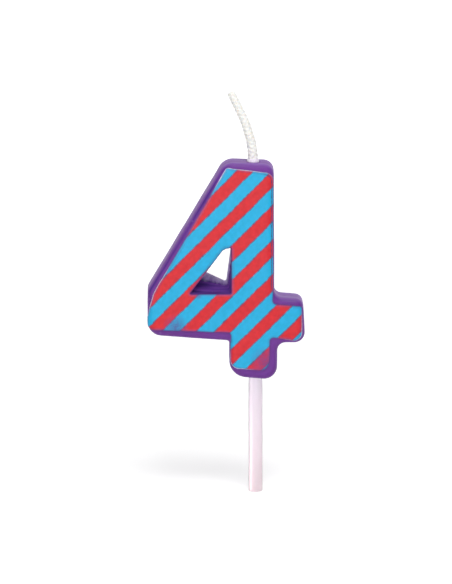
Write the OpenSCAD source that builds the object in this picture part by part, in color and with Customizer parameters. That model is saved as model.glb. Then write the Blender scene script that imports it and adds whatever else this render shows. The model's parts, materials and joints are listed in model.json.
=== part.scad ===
// Number candle: a moulded wax figure four with a printed film on its face,
// a bent wick on its head and a plastic pick under its foot.
// The origin is the free end of the pick, +Z runs up the pick and the printed face looks toward -Y.

/* [Wax number] */
// Height from the lowest point of the foot to the head
body_h = 55.5; // [51:0.5:62]
// Thickness from face to back
body_t = 9; // [8:0.25:12]
// Radius of the soft rim round the face and round the back
rim_r = 1.6; // [1:0.1:1.8]
// Width from the crossbar's left end to its right end
body_w = 39.4; // [37:0.1:43]
// Right end of the crossbar, from the pick's axis
bar_right = 12.4; // [11:0.1:14]
// Height of the crossbar's underside above the foot, beside the stem
bar_rise = 10.25; // [8:0.25:12]
// Height of the right arm's underside above the foot
arm_rise = 9.75; // [8:0.25:12]
// Height of the right arm's upper side above the foot, beside the stem
arm_top = 21.5; // [19:0.25:24]
// Height of the corner where the left end meets the slanting limb
heel_h = 23.3; // [21:0.1:26]
// Left side of the stem below the crossbar, from the pick's axis
stem_left = 6.6; // [5.5:0.1:8]
// Right side of the stem above the crossbar, from the pick's axis
stem_right = 4.6; // [4:0.1:6]
// Right side of the stem below the crossbar, from the pick's axis
foot_right = 5.4; // [4.5:0.1:6.5]
// Left corner of the head, from the pick's axis
head_left = 7.8; // [7:0.1:10]

/* [Hand-cut slants] */
// Fall of the head's top toward the right
head_fall = 0.4; // [0:0.1:1]
// Fall of the right arm's upper side toward its end
arm_fall = 0.7; // [0:0.1:1.2]
// Lean of the right arm's end, inward at its top
end_lean = 0.6; // [0:0.1:1]
// Rise of the crossbar's underside toward its left end
bar_slant = 1.6; // [0:0.1:2]
// Rise of the foot's underside toward its left corner
foot_slant = 1.3; // [0:0.1:1.6]

/* [Corners] */
// Radius of the plain outer corners
corner_r = 2.6; // [2:0.1:3.2]
// Radius of the right arm's upper corner
tip_r = 2; // [1.9:0.1:3]
// Radius of the foot's corners
foot_r = 3.4; // [2:0.1:3.6]
// Radius of the head's left shoulder
shoulder_r = 4.4; // [3:0.1:6]
// Radius of the left end's upper corner
heel_r = 3.4; // [3:0.1:6]
// Radius of the two crooks beside the right arm
crook_r = 2; // [1:0.1:2.6]
// Radius of the notch under the left arm
notch_r = 0.6; // [0.3:0.1:1.5]

/* [Counter] */
// Right wall of the counter, from the pick's axis
hole_right = 6.1; // [5.6:0.1:7]
// Height of the counter's floor above the foot
hole_floor = 22.5; // [21:0.1:24]
// Width of the counter's floor
hole_w = 10.4; // [9:0.1:12]
// Height of the counter's right wall
hole_h = 11.7; // [10:0.1:13.5]
// Width of the counter's short top, from the right wall to the shoulder
hole_top = 1.9; // [1.8:0.1:2.6]
// Fall of the short top toward the shoulder
hole_fall = 0.4; // [0:0.1:0.8]
// Radius of the shoulder, where the short top meets the slanting side
hole_shoulder_r = 2; // [1:0.1:2.2]
// Radius of the counter's other corners
hole_corner_r = 0.3; // [0.2:0.05:0.4]
// Radius of the counter's rim at the face and at the back
hole_rim_r = 0.3; // [0.2:0.1:0.8]
// How much higher the floor lies at the back than at the face, on average
floor_draft = 2.5; // [1:0.1:3]
// How much higher than that the floor's left end lies at the back, and its right end lower
floor_tilt = 0.9; // [0:0.1:1]
// How far the right wall's foot comes in toward the back
wall_draft = 0.7; // [0:0.1:1.6]

/* [Printed film] */
// Thickness of the film
film_t = 0.2; // [0.1:0.05:0.4]
// Bare rim left above the film
film_gap = 1.6; // [1.2:0.1:2.2]
// Bare rim left under the film and beside the foot
film_gap_low = 2.4; // [1.6:0.1:2.8]
// Bare edge where the film laps onto the rounded rim
film_lap = 0.4; // [0.2:0.05:0.7]
// How far the film is turned out of line along the head
film_skew = 0.5; // [0:0.1:0.8]
// Glue line between the wax and the film
glue_t = 0.04; // [0.03:0.01:0.08]
// Bare edge beside the counter's rim
film_hole_gap = 0.05; // [0.05:0.05:0.4]
// Radius of the film's outer corners
film_corner_r = 2; // [1.9:0.1:2.6]
// Radius of the film's inner corners
film_crook_r = 1; // [0.5:0.1:1.6]
// Thickness of the ink bands
ink_t = 0.1; // [0.05:0.05:0.2]
// Width of an ink band
band_w = 3; // [2:0.1:4]
// Distance from one ink band to the next, across the bands
band_pitch = 6.2; // [5:0.1:9]
// Slope of the ink bands, in degrees
band_angle = 45; // [35:1:55]
// Height above the foot at which one band crosses the pick's axis
band_height = 38.7; // [35:0.1:44]

/* [Wick] */
// Diameter of the wick
wick_d = 2.2; // [1.8:0.1:2.5]
// Wick's axis, right of the pick's axis
wick_x = -0.6; // [-1.5:0.1:0.5]
// Radius of the bend above the head
wick_bend_r = 25; // [20:1:50]
// Angle that the wick is bent through
wick_bend = 38; // [10:1:45]
// Solid wax left between the wick's lower end and the pick
wick_clear = 6; // [3:0.5:12]
// Width of the wax seal beyond the wick
seal_lap = 0.6; // [0.4:0.1:0.9]
// Height of the wax seal above the head
seal_h = 1.4; // [0.8:0.1:2]
// Depth of the seal's seat in the head
seal_sink = 0.5; // [0.3:0.1:0.8]
// Wall of the seal at its upper edge
seal_wall = 0.15; // [0.1:0.05:0.3]

/* [Pick] */
// Diameter of the pick's shank
pick_d = 3.5; // [3:0.1:4.2]
// Length of the pick below the foot
pick_free = 29.4; // [24:0.1:40]
// Depth of the pick in the foot
pick_hold = 15.5; // [10:0.5:17]
// How much narrower than the shank the spigot in the socket is, on each side
neck_step = 0.2; // [0.05:0.05:0.4]
// Length of the neck that runs from the shank to the spigot
neck_len = 4; // [3.4:0.1:6]
// Part of the neck below the foot
neck_below = 2.2; // [1.8:0.1:2.6]
// Radial clearance of the spigot in its socket, also at its end
fit_clear = 0.05; // [0.02:0.01:0.1]

/* [Hidden] */
$fn = 64;
// Steps along each rounded corner of the wax
arc_steps = 8;
// Steps along each rounded corner of the film
film_arc_steps = 5;
// Steps round the soft rim
rim_steps = 5;
// Steps by which the film follows the soft rim
film_steps = 4;
// How far a rim's solid laps over the flat core that it surrounds
core_lap = 0.08;
// How far cutters reach past what they cut
reach = 1;

bar_left = body_w - bar_right;
face_y = -body_t / 2;
film_y = face_y - glue_t - film_t;
shank_len = pick_free - neck_below;
pick_end = pick_free + pick_hold;
pick_r = pick_d / 2;
spigot_r = pick_r - neck_step;
wick_r = wick_d / 2;
wick_end = pick_end + fit_clear + wick_clear;
head_z = pick_free + body_h - head_fall * (wick_x + head_left) / (stem_right + head_left);
seal_r = wick_r + seal_lap;

wax_purple = [0.45, 0.27, 0.62];
film_blue = [0.18, 0.70, 0.93];
ink_red = [0.88, 0.24, 0.29];
wick_cream = [0.95, 0.93, 0.88];
seal_lilac = [0.86, 0.82, 0.92];
pick_pearl = [0.95, 0.91, 0.93];

// Corners of the number as seen from the face, clockwise: across, height above the foot, radius
number_corners = [
    [-head_left, body_h, shoulder_r],                       // head, left
    [stem_right, body_h - head_fall, corner_r],             // head, right
    [stem_right, arm_top, crook_r],                         // crook above the right arm
    [bar_right - end_lean, arm_top - arm_fall, tip_r],      // right arm, upper corner
    [bar_right, arm_rise, corner_r],                        // right arm, lower corner
    [foot_right, arm_rise, crook_r],                        // crook under the right arm
    [foot_right, 0, foot_r],                                // foot, right
    [-stem_left, foot_slant, foot_r],                       // foot, left
    [-stem_left, bar_rise, notch_r],                        // notch under the left arm
    [-bar_left, bar_rise + bar_slant, corner_r],            // left end, lower corner
    [-bar_left, heel_h, heel_r]                             // left end, upper corner
];

// Bare wax beside the film on each side, in the order of the corners: at the side's start and at its end
film_margins = [
    [film_gap - film_skew, film_gap + film_skew],           // head
    [film_lap, film_lap],                                   // stem, right side
    [film_gap, film_gap],                                   // right arm, upper side
    [film_lap, film_lap],                                   // right arm, end
    [film_lap, film_lap],                                   // right arm, underside
    [film_gap_low, film_gap_low],                           // foot, right side
    [film_gap_low, film_gap_low],                           // foot, underside
    [film_lap, film_lap],                                   // foot, left side
    [film_gap_low, film_gap],                               // left arm, underside
    [film_lap, film_gap],                                   // left end
    [film_gap, film_gap]                                    // slanting limb
];

// Corners of the counter at the face and at the back, clockwise from the right wall's upper end
hole_upper = hole_floor + hole_h;
hole_left = hole_right + hole_w;
shoulder = [-hole_right - hole_top, hole_upper - hole_fall, hole_shoulder_r];
left_rise = floor_draft + floor_tilt;
left_shift = left_rise * (hole_w - hole_top) / (hole_h - hole_fall);
hole_front = [
    [-hole_right, hole_upper, hole_corner_r],
    [-hole_right, hole_floor, hole_corner_r],
    [-hole_left, hole_floor, hole_corner_r],
    shoulder
];
hole_back = [
    [-hole_right, hole_upper, hole_corner_r],
    [-hole_right - wall_draft, hole_floor + floor_draft - floor_tilt, hole_corner_r],
    [-hole_left + left_shift, hole_floor + left_rise, hole_corner_r],
    shoulder
];

function flat(corner) = [corner.x, corner.y];
function unit(v) = v / norm(v);
// Outward side of a clockwise outline's edge
function outward(d) = [-d.y, d.x];
function turned(v, angle) = [v.x * cos(angle) - v.y * sin(angle), v.x * sin(angle) + v.y * cos(angle)];
function after(list, i) = list[(i + 1) % len(list)];
function before(list, i) = list[(i + len(list) - 1) % len(list)];

// Points along one rounded corner, each with its outward direction
function rounded_corner(from, at, to, steps) =
    let (
        along = unit(flat(at) - flat(from)),
        leaving = unit(flat(to) - flat(at)),
        turn = atan2(cross(along, leaving), along * leaving),
        bulge = turn < 0 ? at.z : -at.z,
        start = flat(at) - along * at.z * tan(abs(turn) / 2),
        centre = start - bulge * outward(along)
    )
    [for (k = [0 : steps])
        let (n = turned(outward(along), turn * k / steps))
        [centre + bulge * n, n]];

// A closed outline of rounded corners
function rounded(corners, steps) = [
    for (i = [0 : len(corners) - 1])
        each rounded_corner(before(corners, i), corners[i], after(corners, i), steps)
];

// Points along a straight side where the marks fall on it, each with its outward direction
function side_points(first, last, marks) =
    let (along = last - first)
    [for (mark = marks)
        let (share = (mark - first) * along / (along * along))
        if (share > 0 && share < 1) [first + share * along, outward(unit(along))]];

// The points of one rounded corner in an outline
function corner_points(outline, i, steps) =
    let (corner = i % len(number_corners))
    [for (k = [0 : steps]) outline[corner * (steps + 1) + k]];

// The film's outline, with added points on its sides where the wax beside them is still round
function draped_outline(corners) =
    let (plain = rounded(corners, film_arc_steps))
    [for (i = [0 : len(corners) - 1])
        let (
            arc = corner_points(plain, i, film_arc_steps),
            next_arc = corner_points(plain, i + 1, film_arc_steps),
            wax_arc = corner_points(number_outline, i, arc_steps),
            next_wax_arc = corner_points(number_outline, i + 1, arc_steps),
            marks = [for (p = concat(wax_arc, next_wax_arc)) p[0]]
        )
        each concat(arc, side_points(arc[film_arc_steps][0], next_arc[0][0], marks))];

// The outline's points, moved inward
function inset(outline, depth) = [for (p = outline) p[0] - depth * p[1]];

function segment_distance(p, a, b) =
    let (
        ab = b - a,
        share = max(0, min(1, (p - a) * ab / (ab * ab)))
    )
    norm(p - a - share * ab);

// Distance from a point on the face to the number's edge
function edge_distance(p) = min([
    for (i = [0 : len(number_edge) - 1])
        segment_distance(p, number_edge[i], after(number_edge, i))
]);

// Steps down a rounded edge, from the face to the side: inset from the side and depth behind the face
function quarter_round(r) = [
    for (k = [0 : rim_steps])
        let (a = 90 * k / rim_steps)
        [r * (1 - sin(a)), r * (1 - cos(a))]
];

// How far the soft rim has fallen away from the face at a point
function rim_fall(p) =
    let (short = max(0, rim_r - edge_distance(p)))
    rim_r - sqrt(rim_r * rim_r - short * short);

// Where two lines cross, each given by two points
function crossing(a, b) =
    let (
        da = a[1] - a[0],
        db = b[1] - b[0]
    )
    a[0] + da * cross(b[0] - a[0], db) / cross(da, db);

// The line beside one side of the corner list, moved inward by that side's margins
function margin_line(corners, i, margin) =
    let (
        first = flat(corners[i]),
        last = flat(after(corners, i)),
        n = outward(unit(last - first))
    )
    [first - margin[0] * n, last - margin[1] * n];

// Corners of a shape on the face, given the bare margin along each side of the number
function framed_corners(margins) =
    let (lines = [for (i = [0 : len(margins) - 1]) margin_line(number_corners, i, margins[i])])
    [for (i = [0 : len(lines) - 1])
        let (
            at = crossing(before(lines, i), lines[i]),
            along = before(lines, i)[1] - before(lines, i)[0],
            leaving = lines[i][1] - lines[i][0]
        )
        [at.x, at.y, cross(along, leaving) < 0 ? film_corner_r : film_crook_r]];

// The ink stays on the flat of the face
ink_margins = [for (m = film_margins) [max(m[0], rim_r), max(m[1], rim_r)]];

number_outline = rounded(number_corners, arc_steps);
number_edge = inset(number_outline, 0);
film_outline = draped_outline(framed_corners(film_margins));
ink_outline = rounded(framed_corners(ink_margins), film_arc_steps);
// Heights at which lines along the bands' slope through the ink's edge cross the pick's axis
ink_crossings = [for (p = inset(ink_outline, 0)) p.y - p.x * tan(band_angle)];
band_rise = band_pitch / cos(band_angle);
band_half = band_w / 2 / cos(band_angle);
first_band = ceil((min(ink_crossings) - band_half - band_height) / band_rise);
last_band = floor((max(ink_crossings) + band_half - band_height) / band_rise);
hole_front_outline = rounded(hole_front, arc_steps);
hole_back_outline = rounded(hole_back, arc_steps);

// Triangles between neighbouring rings of n points, from ring k to ring k + 1 of so many rings
function band_faces(k, n, rings) = [
    for (i = [0 : n - 1])
        let (
            a = k * n + i,
            b = k * n + (i + 1) % n,
            c = (k + 1) % rings * n + i,
            d = (k + 1) % rings * n + (i + 1) % n
        )
        each [[a, c, b], [b, c, d]]
];

// A ring-shaped solid: each of its rings joins the next, and the last one joins the first
module ring_skin(rings) {
    n = len(rings[0]);
    faces = [for (k = [0 : len(rings) - 1]) each band_faces(k, n, len(rings))];
    polyhedron([for (ring = rings) each ring], faces, convexity = 8);
}

// A solid over rings with flat convex ends
module capped_skin(rings) {
    n = len(rings[0]);
    last = len(rings) - 1;
    faces = [for (k = [0 : last - 1]) each band_faces(k, n, len(rings))];
    first_cap = [for (i = [0 : n - 1]) i];
    last_cap = [for (i = [n - 1 : -1 : 0]) last * n + i];
    polyhedron([for (ring = rings) each ring], concat(faces, [first_cap], [last_cap]), convexity = 8);
}

// A flat shape seen from the face, made solid between two depths
module face_slab(from_y, to_y) {
    translate([0, to_y, 0])
        rotate([90, 0, 0])
            linear_extrude(to_y - from_y)
                children();
}

// The number without its counter: a soft rim round a flat core
module number_blank() {
    rim = concat([[rim_r + core_lap, 0]], quarter_round(rim_r));
    front = [for (s = rim) [for (p = inset(number_outline, s[0])) [p.x, face_y + s[1], p.y]]];
    back = [for (k = [len(rim) - 1 : -1 : 0])
        [for (p = inset(number_outline, rim[k][0])) [p.x, -face_y - rim[k][1], p.y]]];
    ring_skin(concat(front, back));
    face_slab(face_y, -face_y) polygon(inset(number_outline, rim_r + core_lap / 2));
}

// The counter's cutter, with a flared rim at the face and at the back
module counter_cutter() {
    profile = concat([[hole_rim_r, -reach]], quarter_round(hole_rim_r));
    front = [for (s = profile) [for (p = inset(hole_front_outline, -s[0])) [p.x, face_y + s[1], p.y]]];
    back = [for (k = [len(profile) - 1 : -1 : 0])
        [for (p = inset(hole_back_outline, -profile[k][0])) [p.x, -face_y - profile[k][1], p.y]]];
    capped_skin(concat(front, back));
}

// A sheet of the film's outline on the face, whose edge follows the soft rim
module draped_sheet() {
    insets = concat([for (k = [0 : film_steps]) rim_r * k / film_steps], [rim_r + core_lap]);
    traces = [for (depth = insets) inset(film_outline, depth)];
    falls = [for (trace = traces) [for (p = trace) rim_fall(p)]];
    last = len(insets) - 1;
    upper = [for (k = [last : -1 : 0])
        [for (i = [0 : len(traces[k]) - 1]) [traces[k][i].x, film_y + falls[k][i], traces[k][i].y]]];
    lower = [for (k = [0 : last])
        [for (i = [0 : len(traces[k]) - 1]) [traces[k][i].x, film_y + film_t + falls[k][i], traces[k][i].y]]];
    ring_skin(concat(upper, lower));
    face_slab(film_y, film_y + film_t) polygon(inset(film_outline, rim_r + core_lap / 2));
}

module film_hole() {
    polygon(inset(hole_front_outline, -hole_rim_r - film_hole_gap));
}

module band_shape(k) {
    translate([0, band_height + k * band_rise])
        rotate(band_angle)
            square([2 * (bar_left + body_h), band_w], center = true);
}

// The pick's half section, grown by a clearance
module pick_section(grow = 0, below = 0) {
    polygon([
        [0, -below],
        [pick_r + grow, -below],
        [pick_r + grow, shank_len],
        [spigot_r + grow, shank_len + neck_len],
        [spigot_r + grow, pick_end + grow],
        [0, pick_end + grow]
    ]);
}

module wax_body() {
    color(wax_purple)
        difference() {
            translate([0, 0, pick_free]) number_blank();
            translate([0, 0, pick_free]) counter_cutter();
            rotate_extrude() pick_section(fit_clear, reach);
            translate([wick_x, 0, wick_end]) cylinder(r = wick_r, h = head_z - wick_end + reach);
            translate([wick_x, 0, head_z - seal_sink]) cylinder(r = seal_r, h = seal_sink + reach);
        }
}

module printed_film() {
    color(film_blue)
        translate([0, 0, pick_free])
            difference() {
                draped_sheet();
                face_slab(film_y - reach, film_y + film_t + reach) film_hole();
            }
}

module stripe_ink() {
    color(ink_red)
        translate([0, 0, pick_free])
            for (k = [first_band : last_band])
                face_slab(film_y - ink_t, film_y)
                    difference() {
                        intersection() {
                            polygon(inset(ink_outline, 0));
                            band_shape(k);
                        }
                        film_hole();
                    }
}

module wick() {
    bend_z = head_z + seal_h;
    color(wick_cream)
        union() {
            translate([wick_x, 0, wick_end]) cylinder(r = wick_r, h = bend_z - wick_end);
            translate([wick_x - wick_bend_r, 0, bend_z])
                rotate([90, 0, 0])
                    rotate_extrude(angle = wick_bend)
                        translate([wick_bend_r, 0]) circle(r = wick_r);
        }
}

module wick_seal() {
    top_r = wick_r + seal_wall;
    hollow = [for (k = [0 : rim_steps])
        let (a = 90 * k / rim_steps)
        [seal_r - (seal_r - top_r) * sin(a), seal_h * (1 - cos(a))]];
    color(seal_lilac)
        translate([wick_x, 0, head_z])
            rotate_extrude()
                polygon(concat([[wick_r, seal_h], [wick_r, -seal_sink], [seal_r, -seal_sink]], hollow));
}

module pick() {
    color(pick_pearl) rotate_extrude() pick_section();
}

wax_body();
printed_film();
stripe_ink();
wick();
wick_seal();
pick();
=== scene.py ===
# %% [markdown]
# # A striped number candle
# This candle is a figure four, cast in purple wax, with a printed film on its face, a bent wick on
# its head and a plastic pick under its foot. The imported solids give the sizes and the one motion:
# the wax lifts off its pick. This lesson models each piece again with the softness that wax, film
# and cotton have, and gives each one a finish made of nodes.

# %% Load the frame
import json
import math

import bmesh
import bpy
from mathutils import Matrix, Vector, geometry, kdtree

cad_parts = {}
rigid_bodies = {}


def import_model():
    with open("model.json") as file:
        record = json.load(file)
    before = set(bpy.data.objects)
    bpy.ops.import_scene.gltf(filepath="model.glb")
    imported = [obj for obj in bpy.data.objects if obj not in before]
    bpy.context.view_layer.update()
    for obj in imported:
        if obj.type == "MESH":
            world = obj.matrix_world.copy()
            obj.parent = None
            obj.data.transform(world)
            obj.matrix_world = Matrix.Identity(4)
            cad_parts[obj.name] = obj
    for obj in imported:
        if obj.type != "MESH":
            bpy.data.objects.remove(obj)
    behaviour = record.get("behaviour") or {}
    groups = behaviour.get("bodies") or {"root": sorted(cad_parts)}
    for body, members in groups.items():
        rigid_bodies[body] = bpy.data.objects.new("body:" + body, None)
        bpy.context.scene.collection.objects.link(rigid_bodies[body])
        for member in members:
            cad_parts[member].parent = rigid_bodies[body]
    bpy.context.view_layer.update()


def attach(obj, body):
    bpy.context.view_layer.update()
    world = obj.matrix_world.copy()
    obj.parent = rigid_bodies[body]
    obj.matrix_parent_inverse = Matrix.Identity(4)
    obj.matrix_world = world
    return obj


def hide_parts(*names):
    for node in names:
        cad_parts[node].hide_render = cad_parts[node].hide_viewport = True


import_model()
MM = 0.001

# %% [markdown]
# ## Camera
# The view was fitted to the photograph: almost straight on to the face, 12 degrees above it, from
# 900 mm away with a long lens. At that distance a millimetre at the middle of the candle is four
# pixels. The lens shift puts the point that the camera looks at where the photograph shows it.

# %% Camera
IMAGE_W, IMAGE_H = 452, 584
PIXELS_PER_MM = 4
DISTANCE = 900
SENSOR = 36
AZIMUTH, ELEVATION = math.radians(-1), math.radians(12)
TARGET = Vector((0, 0, 55))
# Where the photograph shows the target, in pixels from its upper left corner
TARGET_X, TARGET_Y = 255.5, 277.9

back = Vector((
    math.sin(AZIMUTH) * math.cos(ELEVATION),
    -math.cos(AZIMUTH) * math.cos(ELEVATION),
    math.sin(ELEVATION),
))
camera = bpy.data.objects.new("camera", bpy.data.cameras.new("camera"))
bpy.context.scene.collection.objects.link(camera)
bpy.context.scene.camera = camera
camera.location = (TARGET + DISTANCE * back) * MM
camera.rotation_euler = (-back).to_track_quat("-Z", "Y").to_euler()
camera.data.sensor_width = SENSOR
camera.data.lens = DISTANCE * PIXELS_PER_MM * SENSOR / IMAGE_H
camera.data.shift_x = (IMAGE_W / 2 - TARGET_X) / IMAGE_H
camera.data.shift_y = (TARGET_Y - IMAGE_H / 2) / IMAGE_H
print("lens", round(camera.data.lens, 1), "mm")

# %% [markdown]
# ## The wax number, as a block
# The figure is drawn the way a mould maker draws it: one point is pulled from corner to corner,
# the loop is filled, each corner is rounded to its own radius and the face is pulled back into a
# block. Tracing a curve would do as well, but a loop of straight sides keeps every corner a number
# that can be read. All sizes here are in millimetres, and heights count from the foot.

# %% Sizes of the number
FOOT = 29.4
BODY_H, BODY_T, BODY_W = 55.5, 9, 39.4
FRONT, REAR = -BODY_T / 2, BODY_T / 2
RIGHT_END = 12.4
LEFT_END = RIGHT_END - BODY_W
STEM_LEFT, STEM_RIGHT, FOOT_RIGHT = -6.6, 4.6, 5.4
ARM_LOW = 9.75

# Corners as seen from the face, clockwise: across from the pick's axis, height and radius
NUMBER = [
    (-7.8, BODY_H, 3.6),  # head, left
    (STEM_RIGHT, BODY_H - 0.4, 2.6),  # head, right
    (STEM_RIGHT, 21.5, 2),  # crook above the arm
    (RIGHT_END - 0.6, 20.8, 2),  # arm, upper corner
    (RIGHT_END, ARM_LOW, 2.6),  # arm, lower corner
    (FOOT_RIGHT, ARM_LOW, 2),  # crook under the arm
    (FOOT_RIGHT, 0, 3.4),  # foot, right
    (STEM_LEFT, 1.3, 4.2),  # foot, left
    (STEM_LEFT, 10.25, 0.6),  # notch under the bar
    (LEFT_END, 11.85, 3.4),  # left end, lower corner
    (LEFT_END, 23.3, 2.2),  # left end, upper corner
]
print("number:", BODY_W, "by", BODY_H, "by", BODY_T, "mm, with", len(NUMBER), "corners")


# %% Helpers for selecting
def clear_selection():
    """Leaves edit mode and deselects everything."""
    if bpy.context.object and bpy.context.object.mode != "OBJECT":
        bpy.ops.object.mode_set(mode="OBJECT")
    bpy.ops.object.select_all(action="DESELECT")


def select_where(kind, test):
    """In edit mode, selects the vertices, edges or faces that pass a test, and nothing else."""
    bpy.ops.mesh.select_mode(type={"verts": "VERT", "edges": "EDGE", "faces": "FACE"}[kind])
    bpy.ops.mesh.select_all(action="DESELECT")
    mesh = bmesh.from_edit_mesh(bpy.context.object.data)
    for part in getattr(mesh, kind):
        if test(part):
            part.select_set(True)
    mesh.select_flush_mode()
    bmesh.update_edit_mesh(bpy.context.object.data)


# %% Helpers for tracing
# Places closer than this are the same place
NEAR = 0.01
CORNER_STEPS = 8


def place(across, up, depth):
    """A point given as seen from the face, in millimetres, as a place in the frame."""
    return Vector((across, depth, FOOT + up)) * MM


def corner_cut(corners, i):
    """How far from a corner its rounding starts."""
    before, at, after = (Vector(corners[k % len(corners)][:2]) for k in (i - 1, i, i + 1))
    turn = (at - before).angle(after - at)
    return corners[i][2] * math.tan(turn / 2)


def trace_outline(name, corners, depth):
    """A flat face at one depth, pulled from corner to corner and rounded, and still in edit mode."""
    clear_selection()
    bpy.ops.mesh.primitive_plane_add(size=MM)
    bpy.context.object.name = name
    bpy.ops.object.mode_set(mode="EDIT")
    bpy.ops.mesh.select_mode(type="VERT")
    bpy.ops.mesh.merge(type="CENTER")
    points = [place(across, up, depth) for across, up, _ in corners]
    bpy.ops.transform.translate(value=points[0])
    for here, there in zip(points, points[1:]):
        bpy.ops.mesh.extrude_vertices_move(TRANSFORM_OT_translate={"value": there - here})
    bpy.ops.mesh.select_all(action="SELECT")
    bpy.ops.mesh.edge_face_add()
    for i, point in enumerate(points):
        select_where("verts", lambda v: (v.co - point).length < NEAR * MM)
        bpy.ops.mesh.bevel(
            offset_type="OFFSET",
            offset=corner_cut(corners, i) * MM,
            segments=CORNER_STEPS,
            affect="VERTICES",
        )
    return bpy.context.object


def pull_back(depth):
    """Pulls the traced face back along +Y into a closed block."""
    bpy.ops.mesh.select_all(action="SELECT")
    bpy.ops.mesh.extrude_region_move(TRANSFORM_OT_translate={"value": (0, depth * MM, 0)})
    bpy.ops.mesh.select_all(action="SELECT")
    bpy.ops.mesh.normals_make_consistent(inside=False)


# %% The block with its soft rim
RIM_R, RIM_STEPS = 1.6, 6


def on_a_face(edge):
    """Does this edge lie in the front or the back of the block?"""
    depths = [v.co.y / MM for v in edge.verts]
    return any(all(abs(d - face) < NEAR for d in depths) for face in (FRONT, REAR))


def round_edges(radius, steps):
    """Rounds the selected edges."""
    bpy.ops.mesh.bevel(
        offset_type="OFFSET", offset=radius * MM, segments=steps, affect="EDGES", clamp_overlap=False
    )


wax_number = trace_outline("wax_number", NUMBER, FRONT)
pull_back(BODY_T)
select_where("edges", on_a_face)
round_edges(RIM_R, RIM_STEPS)
clear_selection()
print("block:", len(wax_number.data.polygons), "faces")

# %% [markdown]
# ## The counter
# The opening in the four was left behind by a core in the mould. It is nearly a triangle, with a
# short top. The core is drafted, so that the wax lets go of it: its floor climbs toward the back,
# most of all on the left, and its right wall leans in. A cutter of that shape is traced like the
# number, its back corners are moved, and a Boolean takes it out of the block. An inset with a hole
# bridged through would do for a straight opening, but not for one with a twisted floor.


# %% Helpers for modifiers
def activate(piece):
    """Makes one piece the only one that is selected, and the one that operators act on."""
    clear_selection()
    bpy.context.view_layer.objects.active = piece
    piece.select_set(True)


def apply_modifier(piece, kind, **settings):
    """Adds a modifier with its settings and applies it at once."""
    activate(piece)
    made = piece.modifiers.new(kind.lower(), kind)
    for name, value in settings.items():
        setattr(made, name, value)
    bpy.ops.object.modifier_apply(modifier=made.name)


def boolean(piece, operation, tool):
    """Cuts a tool out of a piece, or keeps what they share, and takes the tool away."""
    apply_modifier(piece, "BOOLEAN", operation=operation, solver="EXACT", object=tool)
    bpy.data.objects.remove(tool)


# %% Cut the counter
HOLE_RIGHT, HOLE_FLOOR, HOLE_W, HOLE_H = -6.1, 22.5, 10.4, 11.7
# Width of the counter's short top, and how far the top falls to the left
HOLE_TOP, HOLE_FALL = 1.9, 0.4
HOLE_CORNER_R, HOLE_SHOULDER_R = 0.3, 2
# How far the floor climbs to the back, more on the left by the tilt, and how far the wall leans in
FLOOR_DRAFT, FLOOR_TILT, WALL_DRAFT = 2.9, 1.3, 1.2
HOLE_LEFT = HOLE_RIGHT - HOLE_W
HOLE_UPPER = HOLE_FLOOR + HOLE_H
COUNTER = [
    (HOLE_RIGHT, HOLE_UPPER, HOLE_CORNER_R),
    (HOLE_RIGHT, HOLE_FLOOR, HOLE_CORNER_R),
    (HOLE_LEFT, HOLE_FLOOR, HOLE_CORNER_R),
    (HOLE_RIGHT - HOLE_TOP, HOLE_UPPER - HOLE_FALL, HOLE_SHOULDER_R),
]
# Points within this of a corner belong to it, and cutters reach this far past the wax
CORNER_SPAN, REACH = 3, 1
# Faces whose normal has less height than this look down
DOWNWARD = -0.9
FLOOR_CUTS = 8


def move_back_corner(across, move):
    """Moves the cutter's lower corner at one side of its back."""
    corner = place(across, HOLE_FLOOR, REAR)
    select_where("verts", lambda v: v.co.y > 0 and (v.co - corner).length < CORNER_SPAN * MM)
    bpy.ops.transform.translate(value=Vector(move) * MM)


def reach_past(depth, step):
    """Pulls the cutter's end at one depth out past the block."""
    select_where("faces", lambda f: all(abs(v.co.y - depth * MM) < NEAR * MM for v in f.verts))
    bpy.ops.mesh.extrude_region_move(TRANSFORM_OT_translate={"value": (0, step * MM, 0)})


counter_cutter = trace_outline("counter_cutter", COUNTER, FRONT)
pull_back(BODY_T)
move_back_corner(HOLE_RIGHT, (-WALL_DRAFT, 0, FLOOR_DRAFT - FLOOR_TILT))
left_rise = FLOOR_DRAFT + FLOOR_TILT
left_shift = left_rise * (HOLE_W - HOLE_TOP) / (HOLE_H - HOLE_FALL)
move_back_corner(HOLE_LEFT, (left_shift, 0, left_rise))
# The floor is twisted now, so it is cut into small faces
select_where("faces", lambda f: f.normal.z < DOWNWARD)
bpy.ops.mesh.subdivide(number_cuts=FLOOR_CUTS)
reach_past(FRONT, -REACH)
reach_past(REAR, REACH)
boolean(wax_number, "DIFFERENCE", counter_cutter)
print("with its counter:", len(wax_number.data.polygons), "faces")

# %% [markdown]
# ## Wax is never dead flat
# Wax shrinks as it sets, so the faces of a cast candle are faintly uneven and its edges are soft.
# A voxel remesh gives the whole skin one even net of small faces, a little smoothing takes the
# voxels' steps away, and two cloud patterns push the net in and out by about a tenth of a
# millimetre. Bump in the material could suggest this too, but then the edges would stay sharp.

# %% Soften the wax
HOLE_RIM_R, HOLE_RIM_STEPS = 0.3, 4
VOXEL, SMOOTH_TURNS = 0.26, 8
# Name, size and height of each cloud pattern
WAVES = [("slow_waves", 14, 0.24), ("small_waves", 4, 0.06)]


def at_the_counter(edge):
    """Does this edge lie on a face of the number, round the counter?"""
    middle = (edge.verts[0].co + edge.verts[1].co) / 2 / MM
    beside = HOLE_LEFT - REACH < middle.x < HOLE_RIGHT + REACH
    level = HOLE_FLOOR - REACH < middle.z - FOOT < HOLE_UPPER + REACH
    return on_a_face(edge) and beside and level


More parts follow.
